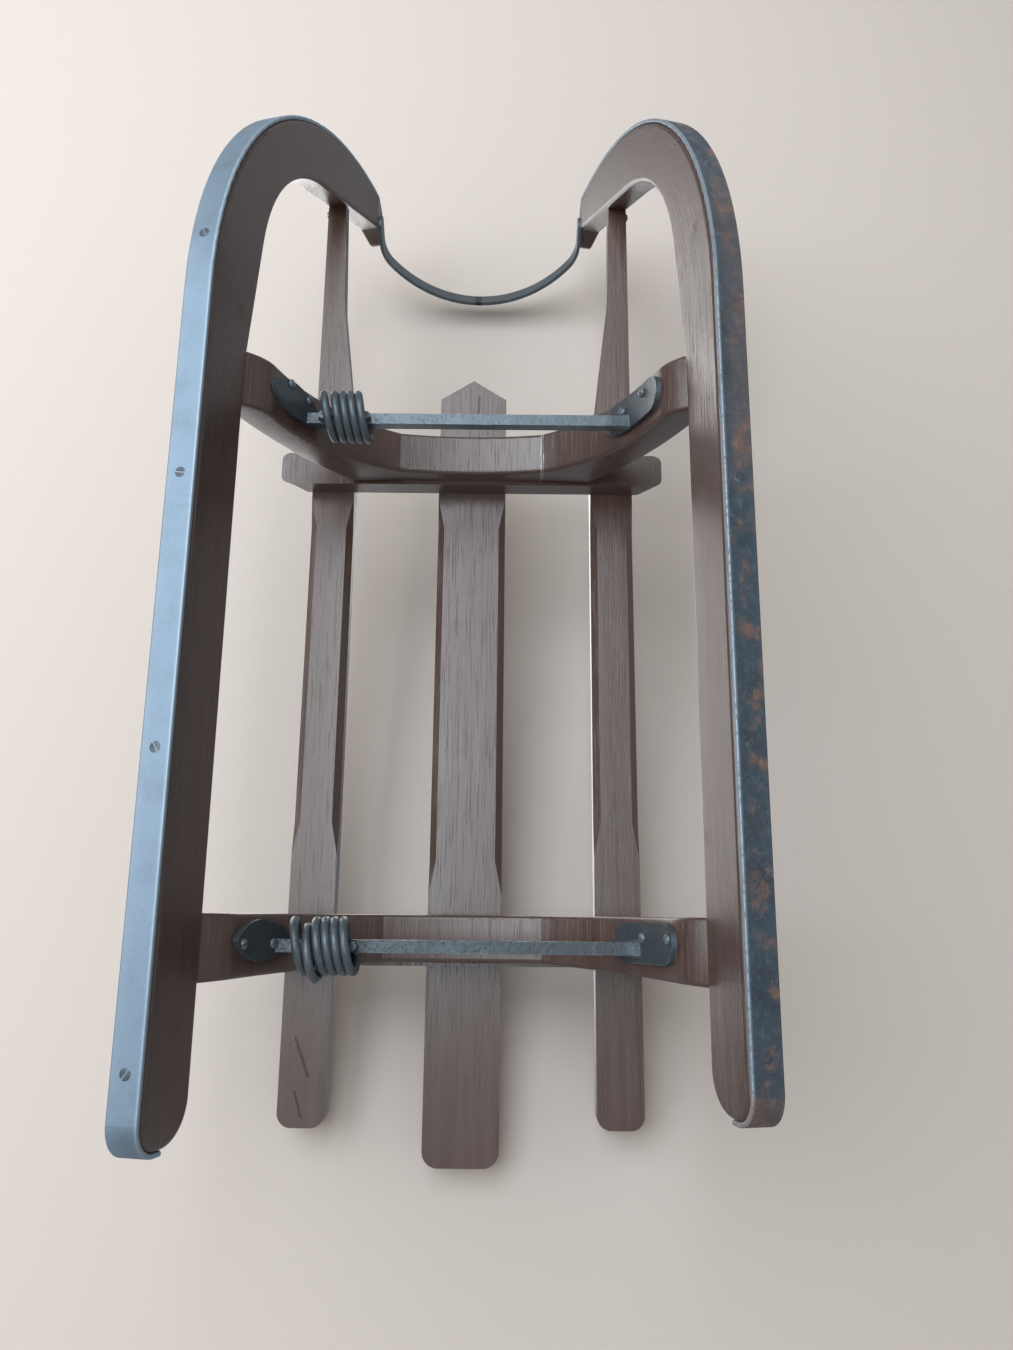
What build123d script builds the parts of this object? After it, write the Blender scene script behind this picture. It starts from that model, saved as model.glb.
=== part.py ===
from build123d import *
import os
from math import cos, hypot, radians, sin, sqrt

os.makedirs("parts", exist_ok=True)

# A wooden sled with two bent-wood runners, standing on its soles.
# +X points forward, +Y to the sled's left and +Z up, in millimetres.
# Z = 0 is the ground, and X = 0 is the middle of the whole length.

# Runners: boards that lean inwards, straight along the sole and bent up in front
cant = 13.5                 # lean of the boards from upright, in degrees
sole_half_track = 156.6     # from the middle to the inner edge of the wooden sole
runner_width = 20           # thickness of the board
runner_height = 46.5        # depth of the board above its sole
bend_radius = 270           # sole side of the bend
hollow_lead = 30            # how far behind the bend the board's top starts to rise
hollow_rise = 24.5          # how far it rises up to the horn's straight back
hollow_setback = 114        # how far behind the horn's front that corner lies
hollow_round = 150          # rounding of that corner
horn_rise = 34              # from the end of the bend up to the top of the horn
horn_tip_depth = 29         # depth of the board where the horn ends
horn_tip_round = 12
horn_flat_drop = 40         # from the horn's top down to where its inner face is cut upright
tail_sole_round = 16
tail_top_round = 24
runner_edge_round = 3

# Steel strips under the soles
strip_thickness = 3
strip_width = 19
strip_edge_round = 1.2
strip_tail_wrap = 22        # how far the strip climbs round the tail
strip_end_drop = 12         # how far below the horn's top the strip ends

# Lengths along the sled, measured from the middle of the rear bridge
wheelbase = 365             # from one bridge to the other
bend_start = 401            # where the sole begins to bend up
centre_slat_back = 154
side_slat_back = 129
centre_slat_front = 446

# The right runner reaches further behind the rear bridge than the left one
runner_table = [            # name, side of the sled, length behind the rear bridge's middle
    ("left", 1, 89),
    ("right", -1, 107),
]

# Bridges: an arch of two legs and a middle piece
bridge_width = 32
arch_crown_height = 168     # underside of the middle piece, at the middle
arch_crown_rise = 5         # how much lower that underside is at the joints
arch_middle_depth = 14      # from the crown up to the bridge's flat top
joint_half = 55             # from the middle to the joint between leg and middle piece
leg_hollow_rise = 19        # how far the leg's hollow side bows above a straight line
leg_outer_rise = 4          # the same for its outer side
leg_top_half = 93           # outer end of the leg's flat top
leg_flare = 6.5             # how much further back the leg's rear side stands at the foot
leg_edge_round = 3
foot_thickness = 13
foot_lap = 17               # how far the foot laps down the runner's inner face

# Bolsters across the top of the bridges
bolster_length = 300
bolster_width = 26
bolster_thickness = 17
bolster_setback = 6         # how far it lies behind the middle of its bridge
bolster_end_slant = 12      # how much shorter each end is at the top
bolster_end_round = 6

# Slats
slat_thickness = 18
slat_edge_round = 3
centre_slat_width = 53.5
centre_slat_point = 17      # how far the tip stands in front of the shoulders
centre_slat_end_round = 11
side_slat_lap = 19          # its outer edge, out from the runner's inner face at that height
side_slat_back_width = 33.5
side_slat_front_width = 14
side_slat_waist_width = 18  # width where the taper in front of the bridge ends
taper_start = 22            # in front of the middle of the front bridge
taper_end = 150
taper_round = 90
side_slat_end_round = 10
chamfer_size = 5            # stopped chamfers along the underside, between the bridges
chamfer_fade = 25           # length over which a chamfer fades out
chamfer_front_stop = 24     # behind the middle of the front bridge
centre_chamfer_back_stop = 30       # in front of the middle of the rear bridge
side_chamfer_back_stop = 58

# Spring ties across the legs: pointed plate, coil spring, square rod and oval plate
tie_height = 101
rod_size = 8
plate_thickness = 3.5
plate_width = 25
plate_above = 18            # reach of the oval plate above the middle of the tie
pointed_plate_above = 8     # the same for the pointed plate, beside the coil
plate_below = 40
coil_outer_radius = 18.5
coil_drop = 5               # middle of the coil below the middle of the tie
coil_pitch = 6.2
coil_clearance = 1.6        # from the coil to the leg beside it
wire_diameter = 5.6
wire_sides = 8              # flats of the wire, as light as the round wire allows
hook_diameter = 5           # of the straight ends, which pass down through the eyes
eye_margin = 6              # from the middle of the spring's eye to the end of the rod
eye_clearance = 0.3
tie_setback = {"front": 7, "rear": 3.5}     # behind the middle of the bridge
coil_turns = {"front": 5, "rear": 6}

# Bow: a flat steel bar in a U, joining the two horns
bow_width = 20
bow_thickness = 3
bow_slope = 50              # how steeply the bow rises backwards, in degrees
bow_drop = 16               # from the horns' top down to where the bow leaves them
bow_lap = 20                # length of each leg on the horn
bow_corner_radius = 30
bow_corner_turn = 45        # in degrees
bow_end_round = 7

# Places worked out from the sizes above
lean = radians(cant)
strip_margin = (runner_width - strip_width) / 2
edge_loss = strip_edge_round * (cos(lean) + sin(lean) - 1)
sole_lift = strip_thickness * cos(lean) - strip_margin * sin(lean) - edge_loss
x_shift = (centre_slat_back - bend_start - bend_radius - strip_thickness) / 2
bend_x = x_shift + bend_start
horn_height = bend_radius + horn_rise
horn_x = bend_x + bend_radius
horn_back = horn_x - horn_tip_depth
corner_x = horn_x - hollow_setback
corner_up = runner_height + hollow_rise
bridge_x = {"front": x_shift + wheelbase, "rear": x_shift}
arch_top_height = arch_crown_height + arch_middle_depth
joint_z = arch_crown_height - arch_crown_rise
seat_underside = arch_top_height + bolster_thickness
horn_seat_y = sole_half_track - (horn_height - horn_flat_drop) * sin(lean)


def board_plane(side, out):
    """Plane along a runner at a depth out from its inner face: x forward, y up the board."""
    origin = (0, side * (sole_half_track + out * cos(lean)), sole_lift + out * sin(lean))
    return Plane(origin=origin, x_dir=(1, 0, 0), z_dir=(0, -cos(lean), -side * sin(lean)))


def inner_face(up):
    """Y and Z on the left runner's inner face, at a height up the leaning board."""
    return sole_half_track - up * sin(lean), sole_lift + up * cos(lean)


def arc_over(start, end, rise):
    """Middle point, centre and radius of the arc that bows to the left of a straight line."""
    (ax, ay), (bx, by) = start, end
    chord = hypot(bx - ax, by - ay)
    nx, ny = (ay - by) / chord, (bx - ax) / chord
    radius = (chord ** 2 / 4 + rise ** 2) / (2 * rise)
    middle = ((ax + bx) / 2 + nx * rise, (ay + by) / 2 + ny * rise)
    return middle, (middle[0] - nx * radius, middle[1] - ny * radius), radius


def stopped_chamfer(y, inwards, back_stop):
    """Chamfer a slat's lower edge between the bridges, fading out at both ends."""
    start = bridge_x["rear"] + back_stop
    length = bridge_x["front"] - chamfer_front_stop - start
    depth = chamfer_size / sqrt(2)
    with BuildSketch(Plane(origin=(start, y, seat_underside), x_dir=(1, 0, 0),
                           z_dir=(0, -1, inwards))) as waste:
        with BuildLine():
            Polyline((0, 0), (chamfer_fade, depth), (length - chamfer_fade, depth), (length, 0),
                     (length, -depth), (0, -depth), close=True)
        make_face()
    extrude(waste.sketch, amount=chamfer_size, both=True, mode=Mode.SUBTRACT)


def hollow_ring(side, back, outer_radius, inner_radius, mode=Mode.ADD):
    """Ring about the centre of a leg's hollow side, as wide as the plate of a tie."""
    with BuildSketch(Plane.YZ.offset(back)) as ring:
        with Locations((side * hollow_centre[0], hollow_centre[1])):
            Circle(outer_radius)
            Circle(inner_radius, mode=Mode.SUBTRACT)
    extrude(ring.sketch, amount=plate_width, mode=mode)


def keep(piece, name):
    """Name a finished piece and write it."""
    piece.part.label = name
    export_step(piece.part, f"parts/{name}.step")


# Runners, each with the steel strip round its tail, along its sole and up its horn
for name, side, tail_overhang in runner_table:
    tail_x = x_shift - tail_overhang
    across = Axis((0, 0, 0), board_plane(side, 0).z_dir)
    horn_seat = Plane(origin=(0, side * horn_seat_y, 0), z_dir=(0, side, 0))

    with BuildPart() as runner:
        with BuildSketch(board_plane(side, 0)):
            with BuildLine():
                Line((tail_x, 0), (bend_x, 0))
                CenterArc((bend_x, bend_radius), bend_radius, -90, 90)
                Polyline((horn_x, bend_radius), (horn_x, horn_height), (horn_back, horn_height),
                         (horn_back, bend_radius), (corner_x, corner_up),
                         (bend_x - hollow_lead, runner_height), (tail_x, runner_height),
                         (tail_x, 0))
            make_face()
            fillet(vertices().sort_by_distance((corner_x, corner_up, 0))[0], hollow_round)
            fillet(vertices().group_by(Axis.Y)[-1], horn_tip_round)
            fillet(vertices().group_by(Axis.X)[0].sort_by(Axis.Y)[0], tail_sole_round)
            fillet(vertices().group_by(Axis.X)[0].sort_by(Axis.Y)[-1], tail_top_round)
        extrude(amount=-side * runner_width)
        fillet(edges().filter_by(across, reverse=True), runner_edge_round)
        split(bisect_by=horn_seat)
    keep(runner, f"runner_{name}")

    with BuildPart() as strip:
        with BuildSketch(board_plane(side, strip_margin)):
            with BuildLine():
                corner = tail_x + tail_sole_round
                strip_end = horn_height - strip_end_drop
                for gap in (0, strip_thickness):
                    Line((tail_x - gap, strip_tail_wrap), (tail_x - gap, tail_sole_round))
                    CenterArc((corner, tail_sole_round), tail_sole_round + gap, 180, 90)
                    Line((corner, -gap), (bend_x, -gap))
                    CenterArc((bend_x, bend_radius), bend_radius + gap, -90, 90)
                    Line((horn_x + gap, bend_radius), (horn_x + gap, strip_end))
                Line((tail_x - strip_thickness, strip_tail_wrap), (tail_x, strip_tail_wrap))
                Line((horn_x, strip_end), (horn_x + strip_thickness, strip_end))
            make_face()
        extrude(amount=-side * strip_width)
        flanks = faces().filter_by(lambda f: abs(f.normal_at().dot(across.direction)) > 0.9)
        fillet(flanks.edges().filter_by(lambda e: e.length > strip_thickness * 2),
               strip_edge_round)
        split(bisect_by=horn_seat)
    keep(strip, f"strip_{name}")

# Bridges: legs that lap on the runners, a middle piece butted between them, a bolster on top
lap_top = inner_face(runner_height)
lap_bottom = inner_face(runner_height - foot_lap)
foot = (lap_bottom[0] - foot_thickness, lap_bottom[1])
joint = (joint_half, joint_z)
shoulder = (leg_top_half, arch_top_height)
hollow_middle, hollow_centre, hollow_radius = arc_over(joint, foot, leg_hollow_rise)
outer_middle = arc_over(shoulder, lap_top, leg_outer_rise)[0]
for place, x in bridge_x.items():
    back_face = Plane.YZ.offset(x - bridge_width / 2)

    # A leg's rear side slants back towards the foot
    with BuildPart() as leg_left:
        with BuildSketch(back_face.offset(-leg_flare)):
            with BuildLine():
                ThreePointArc(joint, hollow_middle, foot)
                Polyline(foot, lap_bottom, lap_top)
                ThreePointArc(lap_top, outer_middle, shoulder)
                Polyline(shoulder, (joint_half, arch_top_height), joint)
            make_face()
        extrude(amount=bridge_width + leg_flare)
        split(bisect_by=Plane(origin=(x - bridge_width / 2, joint_half, 0),
                              z_dir=(foot[0] - joint_half, leg_flare, 0)))
        fillet(edges().filter_by(lambda e: e.geom_type in (GeomType.CIRCLE, GeomType.ELLIPSE)),
               leg_edge_round)
    keep(leg_left, f"{place}_leg_left")

    with BuildPart() as leg_right:
        mirror(leg_left.part, about=Plane.XZ)
    keep(leg_right, f"{place}_leg_right")

    with BuildPart() as arch_middle:
        with BuildSketch(back_face):
            with BuildLine():
                ThreePointArc((-joint_half, joint_z), (0, arch_crown_height), joint)
                Polyline(joint, (joint_half, arch_top_height),
                         (-joint_half, arch_top_height), (-joint_half, joint_z))
            make_face()
        extrude(amount=bridge_width)
        fillet(edges().filter_by(GeomType.CIRCLE), leg_edge_round)
    keep(arch_middle, f"{place}_arch_middle")

    with BuildPart() as bolster:
        with BuildSketch(Plane.YZ.offset(x - bolster_setback - bolster_width / 2)):
            with BuildLine():
                low = bolster_length / 2
                high = low - bolster_end_slant
                Polyline((-low, arch_top_height), (low, arch_top_height),
                         (high, seat_underside), (-high, seat_underside), close=True)
            make_face()
        extrude(amount=bolster_width)
        ends = edges().filter_by(Axis.X, reverse=True).filter_by(Axis.Y, reverse=True)
        fillet(ends, bolster_end_round)
    keep(bolster, f"{place}_bolster")

# Centre slat: pointed in front, rounded corners behind
with BuildPart() as centre_slat:
    with BuildSketch(Plane.XY.offset(seat_underside)):
        with BuildLine():
            half = centre_slat_width / 2
            back = x_shift - centre_slat_back
            tip = x_shift + centre_slat_front
            Polyline((back, -half), (tip - centre_slat_point, -half), (tip, 0),
                     (tip - centre_slat_point, half), (back, half), close=True)
        make_face()
        fillet(vertices().group_by(Axis.X)[0], centre_slat_end_round)
    extrude(amount=slat_thickness)
    fillet(faces().sort_by(Axis.Z)[-1].edges(), slat_edge_round)
    stopped_chamfer(-half, 1, centre_chamfer_back_stop)
    stopped_chamfer(half, -1, centre_chamfer_back_stop)
keep(centre_slat, "centre_slat")

# Side slats: straight outer edge, tapered in front of the bridge, cut to butt on the horn's back
slat_up = (seat_underside - sole_lift) / cos(lean)
outer = inner_face(slat_up)[0] + side_slat_lap
board = board_plane(1, 0)
end_cut = Plane(origin=board.from_local_coords((corner_x, corner_up, 0)),
                z_dir=board.y_dir * (horn_back - corner_x) - board.x_dir * (bend_radius - corner_up))
with BuildPart() as side_slat_left:
    with BuildSketch(Plane.XY.offset(seat_underside)):
        back = x_shift - side_slat_back
        neck_start = bridge_x["front"] + taper_start
        neck_end = bridge_x["front"] + taper_end
        with BuildLine():
            Polyline((back, outer), (horn_back, outer),
                     (horn_back, outer - side_slat_front_width),
                     (neck_end, outer - side_slat_waist_width),
                     (neck_start, outer - side_slat_back_width),
                     (back, outer - side_slat_back_width), close=True)
        make_face()
        neck_corners = vertices().filter_by_position(Axis.X, neck_start - 1, neck_end + 1)
        fillet(neck_corners, taper_round)
        fillet(vertices().group_by(Axis.X)[0], side_slat_end_round)
    extrude(amount=slat_thickness)
    fillet(faces().sort_by(Axis.Z)[-1].edges(), slat_edge_round)
    stopped_chamfer(outer, -1, side_chamfer_back_stop)
    stopped_chamfer(outer - side_slat_back_width, 1, side_chamfer_back_stop)
    split(bisect_by=end_cut)
keep(side_slat_left, "side_slat_left")

with BuildPart() as side_slat_right:
    mirror(side_slat_left.part, about=Plane.XZ)
keep(side_slat_right, "side_slat_right")

# Spring ties: the plates follow the hollow sides of the legs
hollow_y, hollow_z = hollow_centre
plate_radius = hollow_radius - plate_thickness
oval_middle = tie_height + (plate_above - plate_below) / 2
pointed_top = tie_height + pointed_plate_above
pointed_bottom = tie_height - plate_below
low_side = tie_height - rod_size / 2 - hollow_z
rod_reach = hollow_y + sqrt(hollow_radius ** 2 - low_side ** 2)
wire_radius = wire_diameter / 2
coil_radius = coil_outer_radius - wire_radius
coil_height = tie_height - coil_drop
coil_top = coil_height + coil_radius
coil_bottom = coil_height - coil_radius
climb_radius = hypot(coil_radius, coil_pitch / 2)
hook_radius = hook_diameter / 2
coil_rise = coil_height + coil_outer_radius - hollow_z
coil_limit = hollow_y + sqrt(hollow_radius ** 2 - coil_rise ** 2)
coil_start = wire_radius + coil_clearance - coil_limit
eye_radius = wire_radius + eye_clearance
for place, turns in coil_turns.items():
    tie_x = bridge_x[place] - tie_setback[place]
    coil_end = coil_start + turns * coil_pitch
    plate_back = bridge_x[place] - plate_width / 2

    with BuildPart() as tie_rod:
        hollow_ring(1, plate_back, hollow_radius, plate_radius)
        with BuildSketch(Plane.XZ):
            with Locations((bridge_x[place], oval_middle)):
                SlotOverall(plate_above + plate_below, plate_width, rotation=90)
        extrude(amount=-sole_half_track, mode=Mode.INTERSECT)
        with BuildSketch(Plane.XZ.offset(eye_margin - coil_end)):
            with Locations((tie_x, tie_height)):
                Rectangle(rod_size, rod_size)
        extrude(amount=coil_end - eye_margin - rod_reach)
        hollow_ring(1, plate_back, hollow_radius * 2, hollow_radius, Mode.SUBTRACT)
        with BuildSketch(Plane.XY.offset(tie_height)):
            with Locations((tie_x, coil_end)):
                Circle(eye_radius)
        extrude(amount=rod_size, both=True, mode=Mode.SUBTRACT)
    keep(tie_rod, f"{place}_tie_rod")

    with BuildPart() as spring_plate:
        hollow_ring(-1, plate_back, hollow_radius, plate_radius)
        with BuildSketch(Plane.XZ):
            with BuildLine():
                for flank in (plate_back, plate_back + plate_width):
                    ThreePointArc((bridge_x[place], pointed_bottom),
                                  (flank, (pointed_bottom + pointed_top) / 2),
                                  (bridge_x[place], pointed_top))
            make_face()
        extrude(amount=sole_half_track, mode=Mode.INTERSECT)
        with BuildSketch(Plane.XZ.offset(-coil_start - eye_margin)):
            with Locations((tie_x, tie_height)):
                Rectangle(rod_size, rod_size)
        extrude(amount=rod_reach + coil_start + eye_margin)
        hollow_ring(-1, plate_back, hollow_radius * 2, hollow_radius, Mode.SUBTRACT)
        with BuildSketch(Plane.XY.offset(tie_height)):
            with Locations((tie_x, coil_start)):
                Circle(eye_radius)
        extrude(amount=rod_size, both=True, mode=Mode.SUBTRACT)
    keep(spring_plate, f"{place}_spring_plate")

    # Each turn of the coil is a flat half and a half that climbs to the next turn
    with BuildPart() as spring:
        for turn in range(turns):
            y = coil_start + turn * coil_pitch
            halves = [      # start, middle and end of a half turn, its axis and its way along X
                ((tie_x, y, coil_top), (tie_x + coil_radius, y, coil_height),
                 (tie_x, y, coil_bottom), (0, 1, 0), 1),
                ((tie_x, y, coil_bottom), (tie_x - climb_radius, y + coil_pitch / 2, coil_height),
                 (tie_x, y + coil_pitch, coil_top), (0, coil_radius, -coil_pitch / 2), -1),
            ]
            for start, middle, end, axis, way in halves:
                with BuildLine() as half_turn:
                    ThreePointArc(start, middle, end)
                with BuildSketch(Plane(origin=start, x_dir=axis, z_dir=(way, 0, 0))):
                    RegularPolygon(wire_radius, wire_sides, rotation=180 / wire_sides)
                sweep(path=half_turn.line)
        with BuildSketch(Plane.XY.offset(coil_top)):
            with Locations((tie_x, coil_start), (tie_x, coil_end)):
                RegularPolygon(hook_radius, wire_sides, rotation=180 / wire_sides)
        extrude(amount=tie_height - rod_size - coil_top)
    keep(spring, f"{place}_spring")

# Bow: legs flat on the horns, two corners and a shallow curve between them
slope = radians(bow_slope)
bow_turn = radians(bow_corner_turn)
bow_half = horn_seat_y - bow_thickness / 2
corner_in = bow_corner_radius * (1 - cos(bow_turn))
bow_middle_radius = (bow_half - corner_in) / cos(bow_turn)
bow_plane = Plane(origin=(horn_back, 0, inner_face(horn_height - bow_drop)[1]),
                  x_dir=(-cos(slope), 0, sin(slope)), z_dir=(-sin(slope), 0, -cos(slope)))
with BuildPart() as bow:
    with BuildSketch(bow_plane):
        with BuildLine():
            for gap in (bow_thickness / 2, -bow_thickness / 2):
                leg = Line((-bow_lap, bow_half + gap), (0, bow_half + gap))
                left_turn = JernArc(leg @ 1, (1, 0), bow_corner_radius + gap, -bow_corner_turn)
                middle = JernArc(left_turn @ 1, left_turn % 1, bow_middle_radius + gap,
                                 2 * bow_corner_turn - 180)
                right_turn = JernArc(middle @ 1, middle % 1, bow_corner_radius + gap,
                                     -bow_corner_turn)
                Line(right_turn @ 1, (-bow_lap, -bow_half - gap))
            for end in (bow_half, -bow_half):
                Line((-bow_lap, end - bow_thickness / 2), (-bow_lap, end + bow_thickness / 2))
        make_face()
    extrude(amount=bow_width / 2, both=True)
    fillet(edges().filter_by(Axis.Y), bow_end_round)
keep(bow, "bow")
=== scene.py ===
from math import asin, atan2, cos, pi, radians, sin, tan

import bmesh
import bpy
from mathutils import Matrix, Vector


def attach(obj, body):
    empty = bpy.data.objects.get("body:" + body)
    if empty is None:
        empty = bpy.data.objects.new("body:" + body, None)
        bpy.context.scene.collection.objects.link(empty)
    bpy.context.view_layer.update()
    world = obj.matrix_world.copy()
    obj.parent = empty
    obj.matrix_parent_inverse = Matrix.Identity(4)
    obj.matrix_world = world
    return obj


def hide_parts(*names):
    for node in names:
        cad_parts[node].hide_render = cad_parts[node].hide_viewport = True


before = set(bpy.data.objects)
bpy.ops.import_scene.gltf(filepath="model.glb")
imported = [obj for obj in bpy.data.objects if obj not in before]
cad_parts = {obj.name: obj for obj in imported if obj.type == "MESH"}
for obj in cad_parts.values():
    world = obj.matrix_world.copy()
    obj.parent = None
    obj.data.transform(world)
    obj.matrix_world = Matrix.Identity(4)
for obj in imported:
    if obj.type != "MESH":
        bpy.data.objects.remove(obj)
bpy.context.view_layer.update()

# The looks of a wooden sled, in metres, in the frame of its construction:
# +X forward, +Y to the sled's left, +Z up, with the ground at Z = 0.

# Places and sizes that the looks need
LEAN = radians(13.5)            # of the runners' boards
BEND_X = 0.141                  # where the soles begin to bend up
BEND_RADIUS = 0.27
SOLE_LIFT = 0.0028
SOLE_HALF_TRACK = 0.1566        # from the middle to the inner edge of a wooden sole
SOLE_MIDDLE = 0.1675            # from the middle to the middle of a strip under the sole
RUNNER_WIDTH = 0.02
BOARD_TOP = 0.0465              # top edge of a runner's board, up the board
STRIP_THICKNESS = 0.003
FRONT_X = 0.105                 # middles of the two bridges
REAR_X = -0.26
BRIDGE_HALF_WIDTH = 0.016
BOLSTER_SETBACK = 0.006
JOINT_Y = 0.055                 # joints between the legs and the middle piece of an arch
JOINT_Z = 0.163
ARCH_TOP = 0.182
SHOULDER_Y = 0.093              # outer end of a leg's flat top
LEG_FLARE = 0.083               # how far a leg's rear side slants back, per length outwards
LEG_EDGE_ROUND = 0.003
OUTER_BULGE = (0.011, 0.006)    # of a leg's outer side, outwards and upwards
HOLLOW_Y = -0.0311              # centre and radius of the hollow sides of the legs
HOLLOW_Z = 0.0183
HOLLOW_RADIUS = 0.1682
ANKLE_Z = 0.066                 # where a leg's hollow side turns down to the foot
ANKLE_CURVE = 0.011             # how far that turn reaches
FOOT_DEPTH = 0.001              # of a leg's foot in the top edge of the board
FOOT_INNER = 0.0012             # sides of the foot, from the inner face of the board
FOOT_OUTER = 0.0165
PLATE_THICKNESS = 0.0035
PLATE_START = 0.1               # the ties are plates beyond this distance from the middle
PLATE_BLEND = 0.004             # half the length over which their paint changes there
FRONT_TIE_X = FRONT_X - 0.007   # middles of the two tie rods
REAR_TIE_X = REAR_X - 0.0035
TIE_Z = 0.101
ROD_HALF = 0.0041               # a hair more than half a square tie rod
COIL_Z = 0.096
COIL_START = -0.1025
COIL_RADIUS = 0.0157            # to the middle of the wire
COIL_PITCH = 0.0062
COIL_SLANT = 0.13               # of each turn, out of square with the rod
WIRE_RADIUS = 0.0028
SEAT_TOP = 0.217
SEAT_UNDERSIDE = 0.199


# Shader nodes

def add_node(tree, kind, inputs=None, **settings):
    """A shader node. Each input is a plain value, or an output of another node to link."""
    node = tree.nodes.new("ShaderNode" + kind)
    for name, value in settings.items():
        setattr(node, name, value)
    for name, value in (inputs or {}).items():
        socket = node.inputs[name]
        if isinstance(value, bpy.types.NodeSocket):
            tree.links.new(value, socket)
        else:
            socket.default_value = value
    return node


def calculate(tree, operation, a, b=0.0, c=0.0, clamp=False):
    """The result of one arithmetic node."""
    node = add_node(tree, "Math", {0: a, 1: b, 2: c}, operation=operation, use_clamp=clamp)
    return node.outputs[0]


def calculate_vector(tree, operation, a, b=(0.0, 0.0, 0.0)):
    """The vector that one vector node gives."""
    return add_node(tree, "VectorMath", {0: a, 1: b}, operation=operation).outputs[0]


def scale_vector(tree, vector, scale):
    """A vector times a number."""
    return add_node(tree, "VectorMath", {0: vector, "Scale": scale}, operation="SCALE").outputs[0]


def measure_vector(tree, operation, a, b=(0.0, 0.0, 0.0)):
    """The number that one vector node gives, such as a length or a dot product."""
    return add_node(tree, "VectorMath", {0: a, 1: b}, operation=operation).outputs["Value"]


def steps_between(tree, value, low, high):
    """0 below low, 1 above high and a smooth rise between them."""
    node = add_node(tree, "MapRange", {"Value": value, "From Min": low, "From Max": high},
                    interpolation_type="SMOOTHSTEP")
    return node.outputs[0]


def within(tree, distance, width, outer, inner):
    """1 nearer than half a width, with a soft edge between two multiples of that half."""
    half = calculate(tree, "MULTIPLY", width, 0.5)
    return steps_between(tree, distance, calculate(tree, "MULTIPLY", half, outer),
                         calculate(tree, "MULTIPLY", half, inner))


def mix_colours(tree, factor, a, b):
    """Colour a where the factor is 0, and b where it is 1."""
    node = add_node(tree, "Mix", {0: factor, 6: a, 7: b}, data_type="RGBA")
    return node.outputs[2]


def new_group(name, inputs, outputs):
    """An empty node group. inputs and outputs are lists of (name, kind, default value)."""
    tree = bpy.data.node_groups.new(name, "ShaderNodeTree")
    for side, sockets in (("INPUT", inputs), ("OUTPUT", outputs)):
        for socket_name, kind, default in sockets:
            socket = tree.interface.new_socket(socket_name, in_out=side,
                                               socket_type="NodeSocket" + kind)
            if default is not None:
                socket.default_value = default
    entry = tree.nodes.new("NodeGroupInput")
    result = tree.nodes.new("NodeGroupOutput")
    return tree, entry.outputs, result.inputs


def use_group(tree, group, inputs):
    """A node group placed in a material. Gives its outputs."""
    return add_node(tree, "Group", inputs, node_tree=group).outputs


def make_along_runner():
    """Position along a runner that bends up, so that grain and scratches follow the bend."""
    tree, entry, result = new_group("along_runner", [("Position", "Vector", None)],
                                    [("Position", "Vector", None)])
    split = add_node(tree, "SeparateXYZ", {0: entry["Position"]}).outputs
    centre_z = BEND_RADIUS * cos(LEAN) + SOLE_LIFT
    past_bend = calculate(tree, "MAXIMUM", calculate(tree, "SUBTRACT", split[0], BEND_X), 0.0)
    below = calculate(tree, "SUBTRACT", centre_z, split[2])
    turned = calculate(tree, "ARCTAN2", past_bend, below)
    before_bend = calculate(tree, "MINIMUM", split[0], BEND_X)
    along = calculate(tree, "MULTIPLY_ADD", turned, BEND_RADIUS, before_bend)
    squares = calculate(tree, "ADD", calculate(tree, "MULTIPLY", past_bend, past_bend),
                        calculate(tree, "MULTIPLY", below, below))
    depth = calculate(tree, "SUBTRACT", centre_z, calculate(tree, "SQRT", squares))
    joined = add_node(tree, "CombineXYZ", {0: along, 1: split[1], 2: depth}).outputs[0]
    tree.links.new(joined, result["Position"])
    return tree


def make_grain():
    """Wood grain under paint: fine streaks along X, as a height and as a slight shade."""
    tree, entry, result = new_group(
        "grain",
        [("Position", "Vector", None), ("Fineness", "Float", 1.0)],
        [("Height", "Float", None), ("Shade", "Float", None)])
    fine_cells = (14.0, 620.0, 620.0)       # of noise per metre, along X, Y and Z
    broad_cells = (4.0, 120.0, 120.0)
    stretched = calculate_vector(tree, "MULTIPLY", entry["Position"], fine_cells)
    fine_place = scale_vector(tree, stretched, entry["Fineness"])
    fine = add_node(tree, "TexNoise", {"Vector": fine_place, "Scale": 1.0, "Detail": 4.0,
                                       "Roughness": 0.6, "Distortion": 0.25}).outputs["Fac"]
    broad_place = calculate_vector(tree, "MULTIPLY", entry["Position"], broad_cells)
    broad = add_node(tree, "TexNoise", {"Vector": broad_place, "Scale": 1.0, "Detail": 3.0,
                                        "Distortion": 0.2}).outputs["Fac"]
    pores = steps_between(tree, fine, 0.56, 0.68)
    half_broad = calculate(tree, "MULTIPLY", broad, 0.5)
    height = calculate(tree, "MULTIPLY_ADD", fine, 0.6, half_broad)
    tree.links.new(calculate(tree, "MULTIPLY_ADD", pores, -0.45, height), result["Height"])
    tree.links.new(calculate(tree, "MULTIPLY_ADD", fine, 0.5, half_broad), result["Shade"])
    return tree


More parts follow.
